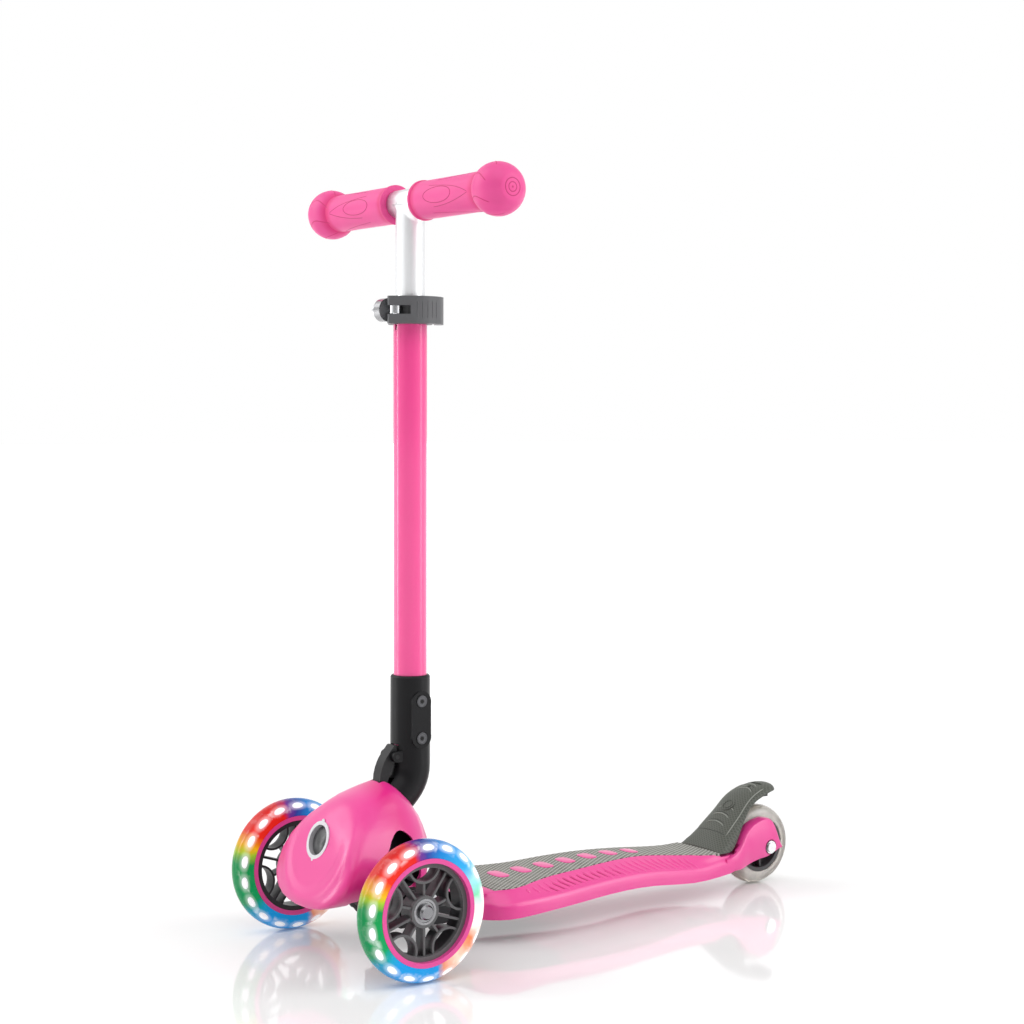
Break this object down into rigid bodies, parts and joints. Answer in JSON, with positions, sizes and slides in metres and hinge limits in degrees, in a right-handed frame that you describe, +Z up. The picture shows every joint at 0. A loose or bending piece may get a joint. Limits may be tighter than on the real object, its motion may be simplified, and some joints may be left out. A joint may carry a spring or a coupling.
{
  "type": "kick scooter",
  "caption": "Three-wheeled folding kick scooter for children with lean steering, light-up front wheels, an arched deck, a rear foot brake and a height-adjustable T-bar.",
  "frame": {"origin": "centre of the bounding box at ground level, between the wheels", "axes": "+Z up, front of the scooter towards -Y, +X to the rider's left; T-bar upright, handlebar at its lowest setting"},
  "size_m": [0.31, 0.5763, 0.6852],
  "materials": {
    "pink_shell": "glossy moulded",
    "grip_mat": "woven-look pad",
    "black_nylon": "satin moulded",
    "black_casting": "satin moulded",
    "dark_lever": "satin moulded",
    "silver_ring": "plated",
    "zinc_steel": "zinc plated",
    "chrome": "plated",
    "black_rubber": "matte",
    "clear_tyre": "clear cast",
    "light_window": "milky",
    "pink_ring": "glossy moulded",
    "dark_core": "satin moulded",
    "bearing_steel": "ground",
    "milky_tyre": "milky cast",
    "pink_tube": "gloss paint",
    "white_plastic": "moulded",
    "silver_tube": "anodised satin",
    "pink_grip": "soft moulded",
    "olive_plastic": "satin moulded"
  },
  "bodies": {
    "chassis": {"deck_shell": "pink_shell", "deck_grip": "grip_mat", "base_frame": "black_nylon", "fairing": "pink_shell", "button_ring": "silver_ring", "fold_bracket": "zinc_steel", "latch_bar": "zinc_steel", "fold_pin": "zinc_steel", "frame_bolts": "zinc_steel", "kingpin": "zinc_steel", "kingpin_bush": "black_rubber", "steer_stops": "black_rubber", "deck_screws": "zinc_steel", "fairing_screws": "zinc_steel", "rear_axle": "chrome", "rear_spacers": "zinc_steel", "brake_pin": "zinc_steel", "brake_spring": "zinc_steel"},
    "truck": {"axle_beam": "black_nylon", "front_axle_bolts": "chrome", "axle_washers": "zinc_steel", "magnet_spacers": "zinc_steel"},
    "front_left_wheel": {"left_tyre": "clear_tyre", "left_lights": "light_window", "left_rim_ring": "pink_ring", "left_core": "dark_core", "left_bearings": "bearing_steel"},
    "front_right_wheel": {"right_tyre": "clear_tyre", "right_lights": "light_window", "right_rim_ring": "pink_ring", "right_core": "dark_core", "right_bearings": "bearing_steel"},
    "rear_wheel": {"rear_tyre": "milky_tyre", "rear_core": "dark_core", "rear_bearings": "bearing_steel"},
    "stem": {"neck": "black_casting", "neck_bolts": "zinc_steel", "fold_lever_pin": "zinc_steel", "outer_tube": "pink_tube", "tube_sleeve": "white_plastic", "clamp_collar": "black_casting", "clamp_bolt": "chrome", "clamp_nut": "chrome", "clamp_washer": "white_plastic", "clamp_pin": "chrome"},
    "fold_lever": {"fold_lever": "dark_lever"},
    "clamp_lever": {"clamp_lever": "dark_lever"},
    "handlebar": {"inner_tube": "silver_tube", "tube_foot": "white_plastic", "crossbar": "silver_tube", "left_grip": "pink_grip", "right_grip": "pink_grip"},
    "steer_lock_button": {"lock_button": "dark_lever"},
    "brake": {"brake_fender": "olive_plastic", "brake_badge": "olive_plastic", "brake_pad": "black_rubber", "brake_screw": "zinc_steel"}
  },
  "joints": [
    {"name": "steer", "type": "hinge", "parent": "chassis", "child": "truck", "pos_m": [0, -0.22765, 0.0605], "axis": [0, -0.6293, 0.7771], "range_deg": [-14, 14], "stiffness_Nm_per_rad": 45},
    {"name": "front_left_wheel_spin", "type": "hinge", "parent": "truck", "child": "front_left_wheel", "pos_m": [0.1094, -0.22765, 0.0605], "axis": [1, 0, 0], "continuous": true},
    {"name": "front_right_wheel_spin", "type": "hinge", "parent": "truck", "child": "front_right_wheel", "pos_m": [-0.1094, -0.22765, 0.0605], "axis": [1, 0, 0], "continuous": true},
    {"name": "rear_wheel_spin", "type": "hinge", "parent": "chassis", "child": "rear_wheel", "pos_m": [0, 0.24815, 0.04], "axis": [1, 0, 0], "continuous": true},
    {"name": "fold", "type": "hinge", "parent": "chassis", "child": "stem", "pos_m": [0, -0.19365, 0.119], "axis": [-1, 0, 0], "range_deg": [0, 84]},
    {"name": "fold_lever_press", "type": "hinge", "parent": "stem", "child": "fold_lever", "pos_m": [0, -0.18815, 0.172], "axis": [1, 0, 0], "range_deg": [0, 7], "stiffness_Nm_per_rad": 1.2, "springref_deg": -11.46},
    {"name": "clamp_lever_open", "type": "hinge", "parent": "stem", "child": "clamp_lever", "pos_m": [0.0123, -0.19165, 0.567], "axis": [0, 0, -1], "range_deg": [0, 150]},
    {"name": "bar_height", "type": "slide", "parent": "stem", "child": "handlebar", "axis": [0, 0, 1], "range_m": [0, 0.13]},
    {"name": "steer_lock", "type": "slide", "parent": "chassis", "child": "steer_lock_button", "axis": [0, 0.9455, -0.3256], "range_m": [0, 0.004], "stiffness_N_per_m": 500, "springref_m": -0.004},
    {"name": "brake_press", "type": "hinge", "parent": "chassis", "child": "brake", "pos_m": [0, 0.18335, 0.035], "axis": [-1, 0, 0], "range_deg": [0, 6.5], "stiffness_Nm_per_rad": 6, "springref_deg": -4.58}
  ]
}
